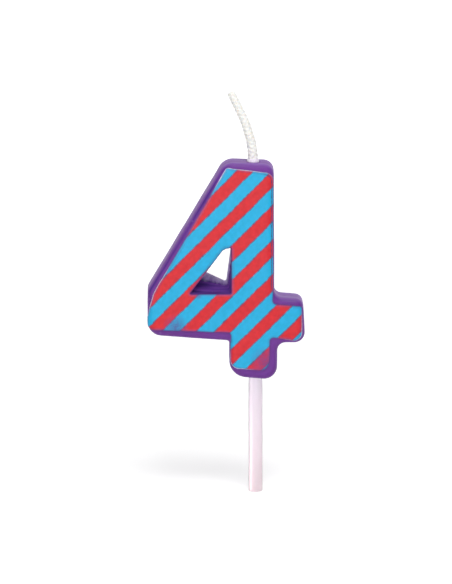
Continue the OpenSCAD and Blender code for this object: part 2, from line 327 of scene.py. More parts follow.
def uneven(piece, name, size, height):
    """Pushes a piece's skin in and out by a cloud pattern of one size and height, in millimetres."""
    texture = bpy.data.textures.new(name, "CLOUDS")
    texture.noise_scale = size * MM
    apply_modifier(
        piece, "DISPLACE", texture=texture, texture_coords="LOCAL", strength=height * MM, mid_level=0.5
    )


activate(wax_number)
bpy.ops.object.mode_set(mode="EDIT")
select_where("edges", at_the_counter)
round_edges(HOLE_RIM_R, HOLE_RIM_STEPS)
apply_modifier(wax_number, "REMESH", mode="VOXEL", voxel_size=VOXEL * MM)
apply_modifier(wax_number, "SMOOTH", factor=0.5, iterations=SMOOTH_TURNS)
for name, size, height in WAVES:
    uneven(wax_number, name, size, height)
print("softened:", len(wax_number.data.polygons), "faces")

# %% [markdown]
# ## The printed film
# The face carries a thin printed film that was pressed on while the wax was warm, so it follows
# every hollow of the face and laps a little way round the rim. It was cut out by hand, so its edge
# waves. It is made from the wax's own skin: a cutter with the film's outline and wavy sides is set
# against a copy of the wax, the front of what they share is peeled off, and loose slivers are
# deleted. Draping a flat sheet with a Shrinkwrap would do too, but its net would not fit the
# film's outline.

# %% Outline of the film
# Wide margins of bare wax: most sides, low sides and the right side of the foot
FILM_GAP, FILM_GAP_LOW, FILM_GAP_FOOT = 1.6, 2.4, 1.9
# The narrow margin where the film laps the rim, its wrap round the left end, and two slants
FILM_LAP, FILM_WRAP, FILM_SKEW, FILM_RISE = 0.4, 0.8, 0.5, 1
FILM_CORNER_R, FILM_CROOK_R = 2, 1
# Corners that differ from the rest, by their number in the outline: head left, arm top, foot right
FILM_RADII = {0: 0.8, 3: 0.8, 6: 2.6}
# Bare wax beside each side of the number, clockwise: at the side's start and at its end.
# Where it is below 0, the film wraps round the side.
FILM_MARGINS = [
    (FILM_GAP - FILM_SKEW, FILM_GAP + FILM_SKEW),  # head
    (FILM_LAP, FILM_LAP),  # stem, right side
    (FILM_GAP, FILM_GAP),  # arm, upper side
    (FILM_LAP, FILM_LAP + FILM_SKEW),  # arm, end
    (FILM_LAP, FILM_LAP + FILM_RISE),  # arm, underside
    (FILM_GAP_FOOT, FILM_GAP_FOOT),  # foot, right side
    (FILM_GAP_LOW, FILM_GAP_LOW),  # foot, underside
    (FILM_LAP, FILM_LAP),  # foot, left side
    (FILM_GAP_LOW, FILM_GAP),  # bar, underside
    (-FILM_WRAP, FILM_GAP),  # left end
    (FILM_GAP, FILM_GAP - FILM_SKEW),  # slanting limb
]


def framed(corners, margins):
    """Corners of the film, from the bare margin at the start and the end of each side of the number."""
    lines = []
    for i, (start, end) in enumerate(margins):
        first, last = Vector(corners[i][:2]), Vector(corners[(i + 1) % len(corners)][:2])
        along = (last - first).normalized()
        inward = Vector((along.y, -along.x))
        lines.append((first + start * inward, last + end * inward))
    made = []
    for i, line in enumerate(lines):
        four = [p.to_3d() for p in (*lines[i - 1], *line)]
        at = geometry.intersect_line_line(*four)[0]
        outer = (four[1] - four[0]).cross(four[3] - four[2]).z < 0
        made.append((at.x, at.y, FILM_CORNER_R if outer else FILM_CROOK_R))
    return made


film_corners = framed(NUMBER, FILM_MARGINS)
for i, radius in FILM_RADII.items():
    film_corners[i] = (*film_corners[i][:2], radius)
print("film's outline:", len(film_corners), "corners")

# %% Cutter for the film
# How far the film stays back from the counter, and how deep its cutter reaches into the wax
FILM_HOLE_GROW, FILM_REACH = 0.15, 0.85
# Cuts in each long side of the cutter, and the size and height of the waves along it
CUT_STEPS, CUT_WAVE, CUT_WOBBLE = 24, 4, 0.4


def grown(corners, step):
    """The corners of an opening moved outward, so that each of its sides moves by one step."""
    moved = framed(corners, [(-step, -step)] * len(corners))
    return [(across, up, old[2] + step) for (across, up, _), old in zip(moved, corners)]


def long_side(edge):
    """Is this one of the straight sides in the front or the back of the film's cutter?"""
    level = abs(edge.verts[0].co.y - edge.verts[1].co.y) < NEAR * MM
    return level and edge.calc_length() > CUT_WAVE / 2 * MM


film_cutter = trace_outline("film_cutter", film_corners, FRONT - REACH)
pull_back(REACH + FILM_REACH)
select_where("edges", long_side)
bpy.ops.mesh.subdivide(number_cuts=CUT_STEPS)
hole_cutter = trace_outline("hole_cutter", grown(COUNTER, FILM_HOLE_GROW), FRONT - 2 * REACH)
pull_back(2 * REACH + 2 * FILM_REACH)
uneven(film_cutter, "cut_waves", CUT_WAVE, CUT_WOBBLE)
boolean(film_cutter, "DIFFERENCE", hole_cutter)
print("film's cutter:", len(film_cutter.data.polygons), "faces")

# %% Peel the film off the wax
# Faces whose normal has more depth than this don't look forward
FORWARD = -0.2
# Points closer than this are merged
DOUBLES = 0.005
# A place on the stem's face, across and up
ON_STEM = (0, 30)

film = wax_number.copy()
film.data = wax_number.data.copy()
film.name = "printed_face"
bpy.context.scene.collection.objects.link(film)
boolean(film, "INTERSECT", film_cutter)
bpy.ops.object.mode_set(mode="EDIT")
select_where("faces", lambda f: f.normal.y > FORWARD)
bpy.ops.mesh.delete(type="FACE")
bpy.ops.mesh.select_all(action="SELECT")
bpy.ops.mesh.remove_doubles(threshold=DOUBLES * MM)
# Only the sheet that covers the stem is kept
select_where("faces", lambda f: (f.calc_center_median() - place(*ON_STEM, FRONT)).length < MM)
bpy.ops.mesh.select_linked()
bpy.ops.mesh.select_all(action="INVERT")
bpy.ops.mesh.delete(type="VERT")
clear_selection()
print("film:", len(film.data.polygons), "faces")

# %% [markdown]
# ## The film's edge and thickness
# Along its cut edge the film bends and creases. The finish paints the shade of the bend, a shadow
# along the cut and the shade of a crease there, and makes the edge pale in places, so it has to know
# how near the edge a place is. Every point of the sheet keeps that distance as an attribute.
# Painting it by hand would do for one sheet, but worked out from the mesh it follows each wave of
# the cut. Then the sheet is lifted by the glue line and made solid.

# %% Edge and thickness of the film
FILM_T, GLUE_T = 0.2, 0.04
# Marks along the sheet's edge lie no farther apart than this
MARK_STEP = 0.04


def edge_distances(piece):
    """Distance in millimetres from every vertex of an open sheet to the sheet's nearest edge."""
    mesh = bmesh.new()
    mesh.from_mesh(piece.data)
    marks = []
    for edge in mesh.edges:
        if edge.is_boundary:
            a, b = (v.co for v in edge.verts)
            steps = 1 + int((a - b).length / (MARK_STEP * MM))
            marks += [a.lerp(b, k / steps) for k in range(steps)]
    tree = kdtree.KDTree(len(marks))
    for i, mark in enumerate(marks):
        tree.insert(mark, i)
    tree.balance()
    found = [tree.find(v.co)[2] / MM for v in mesh.verts]
    mesh.free()
    return found


edge_mm = film.data.attributes.new("edge_mm", "FLOAT", "POINT")
edge_mm.data.foreach_set("value", edge_distances(film))
apply_modifier(film, "DISPLACE", strength=GLUE_T * MM, mid_level=0)
apply_modifier(film, "SOLIDIFY", thickness=FILM_T * MM, offset=1)
print("film with its thickness:", len(film.data.polygons), "faces")

# %% [markdown]
# ## The pick
# The pick is a moulded plastic pin. Its shank shows below the foot, its neck tapers and its thinner
# spigot stands in a socket in the wax. It is turned: a disc is pulled up and scaled from ring to
# ring. A spun profile would give the same, but rings of radius and height also serve the socket,
# the wick and the drop. Their heights count from the pick's lower end, the frame's origin. The two
# halves of the pick's mould leave a fine line down each side, made by drawing one row of points
# outward.

# %% Helper for turned pieces
SIDES = 64


def turned_solid(name, profile, across=0):
    """A closed solid turned round an upright axis, from rings of (radius, height), bottom ring first."""
    clear_selection()
    radius, height = profile[0]
    bpy.ops.mesh.primitive_circle_add(
        vertices=SIDES, radius=radius * MM, fill_type="NGON", location=Vector((across, 0, height)) * MM
    )
    bpy.context.object.name = name
    bpy.ops.object.transform_apply(location=True)
    bpy.ops.object.mode_set(mode="EDIT")
    bpy.ops.mesh.select_all(action="SELECT")
    for (wide, low), (next_wide, high) in zip(profile, profile[1:]):
        bpy.ops.mesh.extrude_region_move(TRANSFORM_OT_translate={"value": (0, 0, (high - low) * MM)})
        ratio = next_wide / wide
        bpy.ops.transform.resize(
            value=(ratio, ratio, 1), center_override=Vector((across, 0, high)) * MM
        )
    bpy.ops.mesh.select_all(action="SELECT")
    bpy.ops.mesh.normals_make_consistent(inside=False)
    return bpy.context.object


# %% Turn the pick
PICK_R, SPIGOT_R = 1.75, 1.55
# How far the pick goes into the wax, and the length of its neck and of the neck below the foot
PICK_HOLD, NECK_LEN, NECK_BELOW = 15.5, 4, 2.2
SHANK_LEN = FOOT - NECK_BELOW
PICK_LEN = FOOT + PICK_HOLD
PICK_EDGE, PICK_EDGE_STEPS = 0.1, 4
# How far the mould's line stands out
PARTING_LINE = 0.04
# Faces that meet at less than this are shaded as one
PICK_CREASE = math.radians(35)


def at_an_end(edge):
    """Does this edge lie in the pick's lower or upper end?"""
    heights = [v.co.z / MM for v in edge.verts]
    return all(h < NEAR for h in heights) or all(h > PICK_LEN - NEAR for h in heights)


def on_parting_line(vert):
    """Is this a point at the left or the right of the shank, where the mould's halves met?"""
    across, depth, height = vert.co / MM
    return abs(depth) < NEAR and abs(across) > PICK_R / 2 and height < SHANK_LEN + NEAR


pick = turned_solid(
    "pick_stem",
    [(PICK_R, 0), (PICK_R, SHANK_LEN), (SPIGOT_R, SHANK_LEN + NECK_LEN), (SPIGOT_R, PICK_LEN)],
)
select_where("edges", at_an_end)
round_edges(PICK_EDGE, PICK_EDGE_STEPS)
select_where("verts", on_parting_line)
bpy.ops.transform.resize(value=(1 + PARTING_LINE / PICK_R, 1, 1), center_override=(0, 0, 0))
activate(pick)
bpy.ops.object.shade_smooth_by_angle(angle=PICK_CREASE)
print("pick:", len(pick.data.polygons), "faces")

# %% [markdown]
# ## Socket and wick channel
# The pick stands in a socket in the foot, and the wick in a channel from the head, under a shallow
# seat for its drop of wax. All three could be cut before the wax is softened, but the remesh would
# then round them. Bored afterwards, their walls keep the clearance that the joint needs.

# %% Bore the wax
# Clearance of the pick in its socket, all round and at its end
FIT_CLEAR = 0.05
WICK_X, WICK_R = -0.6, 1.1
# Solid wax between the socket and the wick's channel
WICK_CLEAR = 6
WICK_END = PICK_LEN + FIT_CLEAR + WICK_CLEAR
# Height of the head where the wick leaves it
HEAD = 84.67
# Radius and depth of the drop's seat, and how many times its width it measures from front to back
SEAT_R, SEAT_DEPTH, SEAT_OVAL = 1.7, 0.5, 1.25
WAX_CREASE = math.radians(40)

socket_cutter = turned_solid(
    "socket_cutter",
    [
        (PICK_R + FIT_CLEAR, SHANK_LEN - REACH),
        (PICK_R + FIT_CLEAR, SHANK_LEN),
        (SPIGOT_R + FIT_CLEAR, SHANK_LEN + NECK_LEN),
        (SPIGOT_R + FIT_CLEAR, PICK_LEN + FIT_CLEAR),
    ],
)
channel_cutter = turned_solid("channel_cutter", [(WICK_R, WICK_END), (WICK_R, HEAD + REACH)], WICK_X)
seat_cutter = turned_solid("seat_cutter", [(SEAT_R, HEAD - SEAT_DEPTH), (SEAT_R, HEAD + REACH)], WICK_X)
bpy.ops.transform.resize(value=(1, SEAT_OVAL, 1), center_override=(0, 0, 0))
for cutter in (socket_cutter, channel_cutter, seat_cutter):
    boolean(wax_number, "DIFFERENCE", cutter)
bpy.ops.object.shade_smooth_by_angle(angle=WAX_CREASE)
print("bored:", len(wax_number.data.polygons), "faces")

# %% [markdown]
# ## The wick
# The wick is a round braid of eight cotton yarns, dipped in wax. Four yarns wind to the right and
# four to the left, and each passes over one and under the next. The part in the wax is a plain
# core, because nobody sees it. Core and yarns are made straight, the yarns as curves with a round
# section, and a fine remesh joins them into one skin and fills the gaps between the yarns as wax
# does. A Curve modifier then bends it along the line of the wick. One bent tube with a bump pattern
# would be quicker, but its outline would stay smooth.

# %% The line of the wick
# Places across and heights, up from the wick's end in the wax
WICK_LINE = [
    (WICK_X, WICK_END),
    (WICK_X, 72),
    (WICK_X, HEAD - SEAT_DEPTH),
    (-1, 89),
    (-1.65, 91.5),
    (-2.45, 94.1),
    (-3.55, 96.6),
    (-4.8, 99.2),
    (-6.15, 102),
]
LINE_STEPS = 12


def curve_object(name, points, radii=None, width=0):
    """A curve through points in the frame, with a round section where it has a width."""
    data = bpy.data.curves.new(name, "CURVE")
    data.dimensions = "3D"
    data.bevel_depth = width
    data.bevel_resolution = 2
    data.use_fill_caps = True
    spline = data.splines.new("POLY")
    spline.points.add(len(points) - 1)
    for i, point in enumerate(points):
        spline.points[i].co = (*point, 1)
        spline.points[i].radius = radii[i] if radii else 1
    made = bpy.data.objects.new(name, data)
    bpy.context.scene.collection.objects.link(made)
    return made


def smooth_line(points, steps):
    """Points on a curve that passes smoothly through the given ones."""
    ends = [2 * points[0] - points[1], *points, 2 * points[-1] - points[-2]]
    made = []
    for before, a, b, after in zip(ends, ends[1:], ends[2:], ends[3:]):
        for k in range(steps):
            t = k / steps
            made.append(
                0.5 * (
                    2 * a
                    + (b - before) * t
                    + (2 * before - 5 * a + 4 * b - after) * t ** 2
                    + (3 * a - 3 * b + after - before) * t ** 3
                )
            )
    return made + [points[-1]]


wick_points = smooth_line([Vector((x, 0, z)) * MM for x, z in WICK_LINE], LINE_STEPS)
wick_line = curve_object("wick_line", wick_points)
wick_length = sum((b - a).length for a, b in zip(wick_points, wick_points[1:])) / MM
print("wick:", round(wick_length, 1), "mm long")

# %% Yarns of the braid
EACH_WAY = 4
YARNS = 2 * EACH_WAY
# Radius of a yarn and of its path round the wick, and how far the path weaves in and out
YARN_R, BRAID_R, BRAID_WAVE = 0.4, 0.56, 0.12
# Length of one turn, and where along the wick the braid starts
BRAID_PITCH, BRAID_START = 4.4, 33.2
# How many times these radii the braid has at its foot and at its tip
THICK_FOOT, THIN_TIP = 1.3, 1.02
# At the tip the yarns end unevenly, spread and thin out
STAGGER, STAGGER_STRIDE = 0.35, 3
FRAY, SPREAD, THINNING = 0.9, 0.1, 0.25
POINTS_PER_TURN = 32


def yarn_points(number):
    """Places and thicknesses along one yarn of the straight braid."""
    side = 1 if number % 2 else -1
    end = wick_length - STAGGER * (number * STAGGER_STRIDE % YARNS) / YARNS
    count = int((end - BRAID_START) / BRAID_PITCH * POINTS_PER_TURN)
    places, sizes = [], []
    for i in range(count + 1):
        along = BRAID_START + (end - BRAID_START) * i / count
        turn = 2 * math.pi * along / BRAID_PITCH
        angle = side * turn + number // 2 * 2 * math.pi / EACH_WAY
        size = THICK_FOOT + (THIN_TIP - THICK_FOOT) * (along - BRAID_START) / (wick_length - BRAID_START)
        loose = max(0, along - wick_length + FRAY) / FRAY
        weave = BRAID_R + side * BRAID_WAVE * math.cos(EACH_WAY * turn)
        radius = size * weave * (1 + SPREAD * loose ** 2)
        places.append(Vector((radius * math.cos(angle), radius * math.sin(angle), along)) * MM)
        sizes.append(size * (1 - THINNING * loose ** 2))
    return places, sizes


strands = [curve_object(f"yarn_{n}", *yarn_points(n), YARN_R * MM) for n in range(YARNS)]
print("yarns:", len(strands))

# %% Join and bend the wick
# Radius of the core, and how far it runs up into the braid
CORE_R, CORE_LAP = 0.85, 1.5
WICK_VOXEL, WICK_SMOOTH_TURNS = 0.1, 32

core = turned_solid("wick_core", [(CORE_R, 0), (CORE_R, BRAID_START + CORE_LAP)])
activate(core)
for strand in strands:
    strand.select_set(True)
bpy.ops.object.convert(target="MESH")
bpy.ops.object.join()
wick = bpy.context.object
wick.name = "braided_wick"
apply_modifier(wick, "REMESH", mode="VOXEL", voxel_size=WICK_VOXEL * MM)
apply_modifier(wick, "SMOOTH", factor=0.5, iterations=WICK_SMOOTH_TURNS)
apply_modifier(wick, "CURVE", object=wick_line, deform_axis="POS_Z")
bpy.data.objects.remove(wick_line)
bpy.ops.object.shade_smooth()
print("wick:", len(wick.data.polygons), "faces")

# %% [markdown]
# ## The drop of wax at the wick's foot
# Where the wick was dipped, a drop of pale wax ran down it and set in the seat on the head. It is
# turned with a sloping flank and then made uneven, because a drop never sets quite round. A sphere
# pressed flat would be a start too, but its flank would not climb the wick.

# %% Set the drop
# Rings of radius and height above the head
DROP = [
    (1.55, -0.5),
    (1.62, -0.1),
    (1.62, 0.1),
    (1.54, 0.3),
    (1.44, 0.55),
    (1.3, 0.8),
]
# Size and height of the waves in the drop
DROP_WAVE, DROP_WOBBLE = 1.6, 0.2

drop = turned_solid("wick_drop", [(radius, HEAD + height) for radius, height in DROP], WICK_X)
bpy.ops.transform.resize(value=(1, SEAT_OVAL, 1), center_override=(0, 0, 0))
apply_modifier(drop, "SUBSURF", levels=1, render_levels=1)
uneven(drop, "drop_waves", DROP_WAVE, DROP_WOBBLE)
bpy.ops.object.shade_smooth()
print("drop:", len(drop.data.polygons), "faces")

# %% [markdown]
# ## Finishes
# Every finish starts from what the material is and how its surface was made. Colours are written as
# screen colours and turned into linear light by one function, and pattern sizes are in millimetres.
# The patterns stand on Object coordinates: every piece sits at the origin, so these are places on
# the candle, and a stripe or a smudge can be put where the real one is. A Mix node has sockets of
# one name for each type of value, so sockets may be given by number: 0 is the share and 6 and 7 are
# the colours. A Map Range node reads socket 0 from 1 to 2 and gives it out from 3 to 4.

# %% Helpers for finishes
PER_MM = 1 / MM
MIX_A, MIX_B = 6, 7


def colour(code):
    """A screen colour such as #804020 as linear light."""
    parts = [int(code[i:i + 2], 16) / 255 for i in (1, 3, 5)]
    return [p / 12.92 if p <= 0.04045 else ((p + 0.055) / 1.055) ** 2.4 for p in parts] + [1]


def add(tree, kind, sockets, **settings):
    """Adds a node with its settings, gives its sockets a value or a link, and returns its first output."""
    made = tree.nodes.new(kind)
    for name, value in settings.items():
        setattr(made, name, value)
    for name, value in sockets.items():
        if isinstance(value, bpy.types.NodeSocket):
            tree.links.new(value, made.inputs[name])
        else:
            made.inputs[name].default_value = value
    return next(output for output in made.outputs if output.enabled)


def new_material(name, **values):
    """A material with its Principled shader's fixed values, and the places on the piece."""
    material = bpy.data.materials.new(name)
    material.use_nodes = True
    tree = material.node_tree
    shader = tree.nodes["Principled BSDF"]
    for socket, value in values.items():
        shader.inputs[socket.replace("_", " ")].default_value = value
    place_on = add(tree, "ShaderNodeTexCoord", {}).node.outputs["Object"]
    return material, tree, shader.inputs, place_on


def link_skin(tree, shader, base, roughness, bump):
    """Gives the shader what varies over the surface."""
    tree.links.new(base, shader["Base Color"])
    tree.links.new(roughness, shader["Roughness"])
    tree.links.new(bump, shader["Normal"])


def finish(piece, material):
    """Makes a material the only one on a piece."""
    piece.data.materials.clear()
    piece.data.materials.append(material)
    print(piece.name, "is", material.name, "with", len(material.node_tree.nodes), "nodes")


# %% [markdown]
# ## Cast paraffin wax
# The number is dyed paraffin, poured into a mould. Light goes a little way into it, so its shadows
# are soft and warm, and its dye is faintly cloudy. Pale streaky lines round the sides paint the
# sheen that they catch where they look sideways. A darker band along the front rim, mostly on the
# slanting limb, paints the shade where the rim turns from the face to the side. The core leaves a
# scraped wall in the counter: its darker tones paint the shade in that hollow, a dark front lip is
# painted shadow, and a pale back edge is painted light that comes through from behind. Handling
# leaves a paler bloom on edges that stand proud. All of this could be painted in an image, but
# masks made from a face's place and direction need no map and stay sharp.

# %% Wall of the counter
# Scrapes and drags in wax are finer than a pixel, so they are drawn this coarse to show
SCRAPE, DRAG = 1.3, 1.1
# Depths between which the painted shadow at the front lip fades, and from which the painted light at the
# back edge grows
LIP_SHADOW_FROM, LIP_SHADOW_TO = -4.2, -2.2
BACK_LIGHT_FROM = -0.5


def counter_wall_with_painted_light(tree, place_on):
    """The wall the core left: scraped, in tones of painted shade, with painted shadow at its front lip and
    painted light dragged pale at its back.
    """
    scraped = add(tree, "ShaderNodeMapping", {"Vector": place_on, "Scale": (0.12, 1, 0.12)})
    scrapes = add(tree, "ShaderNodeTexNoise", {"Vector": scraped, "Scale": PER_MM / SCRAPE, "Detail": 3})
    scrapes = add(tree, "ShaderNodeMapRange", {0: scrapes, 1: 0.35, 2: 0.65, 3: 0, 4: 1})
    # The scrapes mix a dark tone, which paints the shade inside the counter, with a lighter one
    dark, light = colour("#401C78"), colour("#854AB4")
    wall = add(tree, "ShaderNodeMix", {0: scrapes, MIX_A: dark, MIX_B: light}, data_type="RGBA")
    dragged = add(tree, "ShaderNodeMapping", {"Vector": place_on, "Scale": (1, 0.12, 1)})
    drags = add(tree, "ShaderNodeTexNoise", {"Vector": dragged, "Scale": PER_MM / DRAG, "Detail": 2})
    depth = add(tree, "ShaderNodeSeparateXYZ", {0: place_on}).node.outputs["Y"]
    at_back = add(
        tree, "ShaderNodeMapRange", {0: depth, 1: BACK_LIGHT_FROM * MM, 2: REAR * MM, 3: -0.75, 4: 0.6}
    )
    back_light = add(tree, "ShaderNodeMath", {0: drags, 1: at_back}, operation="ADD", use_clamp=True)
    lip_shadow = add(
        tree, "ShaderNodeMapRange", {0: depth, 1: LIP_SHADOW_FROM * MM, 2: LIP_SHADOW_TO * MM, 3: 0.65, 4: 0}
    )
    # Painted light on the pale back edge, then painted shadow at the front lip
    for share, tone in ((back_light, "#F0E4FF"), (lip_shadow, "#2A1450")):
        wall = add(tree, "ShaderNodeMix", {0: share, MIX_A: wall, MIX_B: colour(tone)}, data_type="RGBA")
    return wall


# %% Painted shade along the rim
# Size of the breaks in the painted shade along the rim
RIM_SHADE_W = 0.6
# How far forward the wax looks where the painted rim shade lies, as a share of straight on
RIM_SHADE_LOOK = 0.74


def rim_shade(tree, facing, drawn, outside):
    """How strong the painted shade along the front rim is: broken, and strongest on the slanting limb."""
    rim_shading = add(tree, "ShaderNodeMath", {0: facing["Y"], 1: RIM_SHADE_LOOK}, operation="ADD")
    rim_shading = add(tree, "ShaderNodeMath", {0: rim_shading}, operation="ABSOLUTE")
    rim_shading = add(tree, "ShaderNodeMapRange", {0: rim_shading, 1: 0.05, 2: 0.2, 3: 1, 4: 0})
    broken = add(tree, "ShaderNodeTexNoise", {"Vector": drawn, "Scale": PER_MM / RIM_SHADE_W, "Detail": 1})
    broken = add(tree, "ShaderNodeMapRange", {0: broken, 1: 0.4, 2: 0.6, 3: 0.85, 4: 0.3})
    on_limb = add(tree, "ShaderNodeMapRange", {0: facing["X"], 1: -0.4, 2: 0, 3: 1, 4: 0.3})
    upward = add(tree, "ShaderNodeMapRange", {0: facing["Z"], 1: -0.2, 2: 0.2, 3: 0, 4: 1})
    for share in (broken, on_limb, upward, outside):
        rim_shading = add(tree, "ShaderNodeMath", {0: rim_shading, 1: share}, operation="MULTIPLY")
    return rim_shading


# %% Masks for the wax
# The counter lies round this place, and its mask fades between these distances from it
CORE_AT, CORE_INNER, CORE_OUTER = (-10, 26.5), 10, 11.5


def counter_masks(tree, place_on, facing):
    """Two shares: 1 away from the counter, and 1 within it where the wax doesn't look back."""
    from_core = add(
        tree, "ShaderNodeVectorMath", {0: place_on, 1: place(*CORE_AT, 0)}, operation="DISTANCE"
    )
    outside = add(
        tree, "ShaderNodeMapRange", {0: from_core, 1: CORE_INNER * MM, 2: CORE_OUTER * MM, 3: 0, 4: 1}
    )
    not_back = add(tree, "ShaderNodeMapRange", {0: facing["Y"], 1: 0.3, 2: 0.6, 3: 1, 4: 0})
    within = add(
        tree, "ShaderNodeMath", {0: not_back, 1: outside}, operation="SUBTRACT", use_clamp=True
    )
    return outside, within


def streaks_and_painted_sheen(tree, lines, facing, outside):
    """How strongly the pale streaks of painted sheen show: where the wax looks sideways, away from the
    counter.
    """
    sideways = add(tree, "ShaderNodeMath", {0: facing["Y"]}, operation="ABSOLUTE")
    sideways = add(tree, "ShaderNodeMapRange", {0: sideways, 1: 0.25, 2: 0.8, 3: 0.65, 4: 0})
    streaks = add(tree, "ShaderNodeMapRange", {0: lines, 1: 0.38, 2: 0.62, 3: 0.1, 4: 1})
    for share in (sideways, outside):
        streaks = add(tree, "ShaderNodeMath", {0: streaks, 1: share}, operation="MULTIPLY")
    return streaks


# %% Cast paraffin wax
WAX_CLOUD = 7
# Draw lines and grain in wax are finer than a pixel, so they are drawn this coarse to show
DRAW_LINE, WAX_GRAIN = 3.2, 0.5


def cast_wax():
    """Paraffin cast in a mould: to the eye a satin, faintly cloudy purple with soft shadows."""
    material, tree, shader, place_on = new_material(
        "cast_paraffin_wax",
        IOR=1.44,
        Specular_IOR_Level=0.3,
        Subsurface_Weight=0.25,
        Subsurface_Scale=0.8 * MM,
        Subsurface_Radius=(1, 0.6, 1),
    )
    clouds = add(tree, "ShaderNodeTexNoise", {"Vector": place_on, "Scale": PER_MM / WAX_CLOUD, "Detail": 3})
    drawn = add(tree, "ShaderNodeMapping", {"Vector": place_on, "Scale": (0.03, 1, 0.03)})
    lines = add(tree, "ShaderNodeTexNoise", {"Vector": drawn, "Scale": PER_MM / DRAW_LINE, "Detail": 2})
    grain = add(tree, "ShaderNodeTexNoise", {"Vector": place_on, "Scale": PER_MM / WAX_GRAIN, "Detail": 2})
    proud = add(tree, "ShaderNodeNewGeometry", {}).node.outputs["Pointiness"]
    facing = add(tree, "ShaderNodeSeparateXYZ", {0: place_on.node.outputs["Normal"]}).node.outputs
    outside, within = counter_masks(tree, place_on, facing)
    bloom = add(tree, "ShaderNodeMapRange", {0: proud, 1: 0.53, 2: 0.62, 3: 0, 4: 0.25})

    dark, light = colour("#622A82"), colour("#8246A8")
    base = add(tree, "ShaderNodeMix", {0: clouds, MIX_A: dark, MIX_B: light}, data_type="RGBA")
    # Over the cloudy dye: the counter's wall with its painted shade and light, pale streaks of painted
    # sheen, the painted shade along the rim, and the bloom
    for share, tone in (
        (within, counter_wall_with_painted_light(tree, place_on)),
        (streaks_and_painted_sheen(tree, lines, facing, outside), colour("#9678C0")),
        (rim_shade(tree, facing, drawn, outside), colour("#36207A")),
        (bloom, colour("#9A7CBE")),
    ):
        base = add(tree, "ShaderNodeMix", {0: share, MIX_A: base, MIX_B: tone}, data_type="RGBA")
    satin = add(tree, "ShaderNodeMapRange", {0: clouds, 1: 0.3, 2: 0.7, 3: 0.42, 4: 0.56})
    satin = add(tree, "ShaderNodeMapRange", {0: outside, 3: 0.85, 4: satin})
    bump = add(tree, "ShaderNodeBump", {"Height": lines, "Strength": 0.25, "Distance": 0.1 * MM})
    bump = add(
        tree,
        "ShaderNodeBump",
        {"Height": grain, "Strength": 0.2, "Distance": 0.05 * MM, "Normal": bump},
    )
    link_skin(tree, shader, base, satin, bump)
    return material


finish(wax_number, cast_wax())

# %% [markdown]
# ## Printed film
# The face is a thin plastic film printed in two inks. Light blue covers it all, and red stripes lie
# over the blue at 45 degrees, so where a stripe begins the two inks meet in a fine dark line. The
# ink is a little mottled, because film takes ink unevenly. Toward its cut edge the film bends over
# the rim, and a darker tone there is painted shade, with a painted shadow along the cut. On the
# stem a dark line is the painted shade of a crease, and in places the edge is pale. A few spots
# are rubbed, and the wax darkens them from below. An image would be the common way to print a
# face, but nodes keep the stripes sharp from any distance.

# %% Stripes
# Spacing and slope of the red stripes, and how high above the foot one crosses the pick's axis
STRIPE_PITCH, STRIPE_SLOPE, STRIPE_UP = 6.2, math.radians(45), 38.7
# Sizes of the waves and nicks in a stripe's edge, and how far they move it, in stripe pitches
STRIPE_WAVE, STRIPE_NICK = 5, 0.7
WAVE_SHARE, NICK_SHARE = 0.06, 0.045


def stripe_distance(tree, place_on):
    """Distance from the middle of the nearest red stripe, in stripe pitches, with slightly wavy stripes."""
    slow = add(tree, "ShaderNodeTexNoise", {"Vector": place_on, "Scale": PER_MM / STRIPE_WAVE, "Detail": 1})
    fine = add(tree, "ShaderNodeTexNoise", {"Vector": place_on, "Scale": PER_MM / STRIPE_NICK, "Detail": 1})
    across = add(
        tree,
        "ShaderNodeMapping",
        {
            "Vector": place_on,
            "Location": ((FOOT + STRIPE_UP) * math.sin(STRIPE_SLOPE) / STRIPE_PITCH, 0, 0),
            "Rotation": (0, -STRIPE_SLOPE, 0),
            "Scale": [PER_MM / STRIPE_PITCH] * 3,
        },
    )
    waved = add(tree, "ShaderNodeSeparateXYZ", {0: across}).node.outputs["X"]
    for noise, share in ((slow, WAVE_SHARE), (fine, NICK_SHARE)):
        waved = add(tree, "ShaderNodeMath", {0: noise, 1: share, 2: waved}, operation="MULTIPLY_ADD")
    middle = (WAVE_SHARE + NICK_SHARE) / 2
    waved = add(tree, "ShaderNodeMath", {0: waved, 1: middle}, operation="SUBTRACT")
    return add(tree, "ShaderNodeMath", {0: waved, 1: 0.5}, operation="PINGPONG")


# %% Inks
STRIPE_W = 3
# Half the softness of a stripe's edge, and half the width of the line where the inks meet
INK_EDGE, INK_LAP = 0.09, 0.18


def print_colour(tree, place_on, mottle):
    """The two inks of the print, with a dark line where they lie over each other."""
    inks = []
    for dark, light in (("#00A6D2", "#20BEF4"), ("#C40A22", "#F02A30")):
        tones = {0: mottle, MIX_A: colour(dark), MIX_B: colour(light)}
        inks.append(add(tree, "ShaderNodeMix", tones, data_type="RGBA"))
    blue, red = inks
    stripe = stripe_distance(tree, place_on)
    half, edge = STRIPE_W / STRIPE_PITCH / 2, INK_EDGE / STRIPE_PITCH
    on_red = add(
        tree, "ShaderNodeMapRange", {0: stripe, 1: half - edge, 2: half + edge, 3: 1, 4: 0}
    )
    both = add(tree, "ShaderNodeMix", {0: on_red, MIX_A: blue, MIX_B: red}, data_type="RGBA")
    meeting = add(
        tree, "ShaderNodeMath", {0: stripe, 1: half, 2: INK_LAP / STRIPE_PITCH}, operation="COMPARE"
    )
    uneven_lap = add(tree, "ShaderNodeMapRange", {0: mottle, 1: 0.35, 2: 0.65, 3: 0.75, 4: 0.3})
    meeting = add(tree, "ShaderNodeMath", {0: meeting, 1: uneven_lap}, operation="MULTIPLY")
    return add(
        tree, "ShaderNodeMix", {0: meeting, MIX_A: both, MIX_B: colour("#4A3560")}, data_type="RGBA"
    )


print("stripes:", STRIPE_W, "mm wide, every", STRIPE_PITCH, "mm")

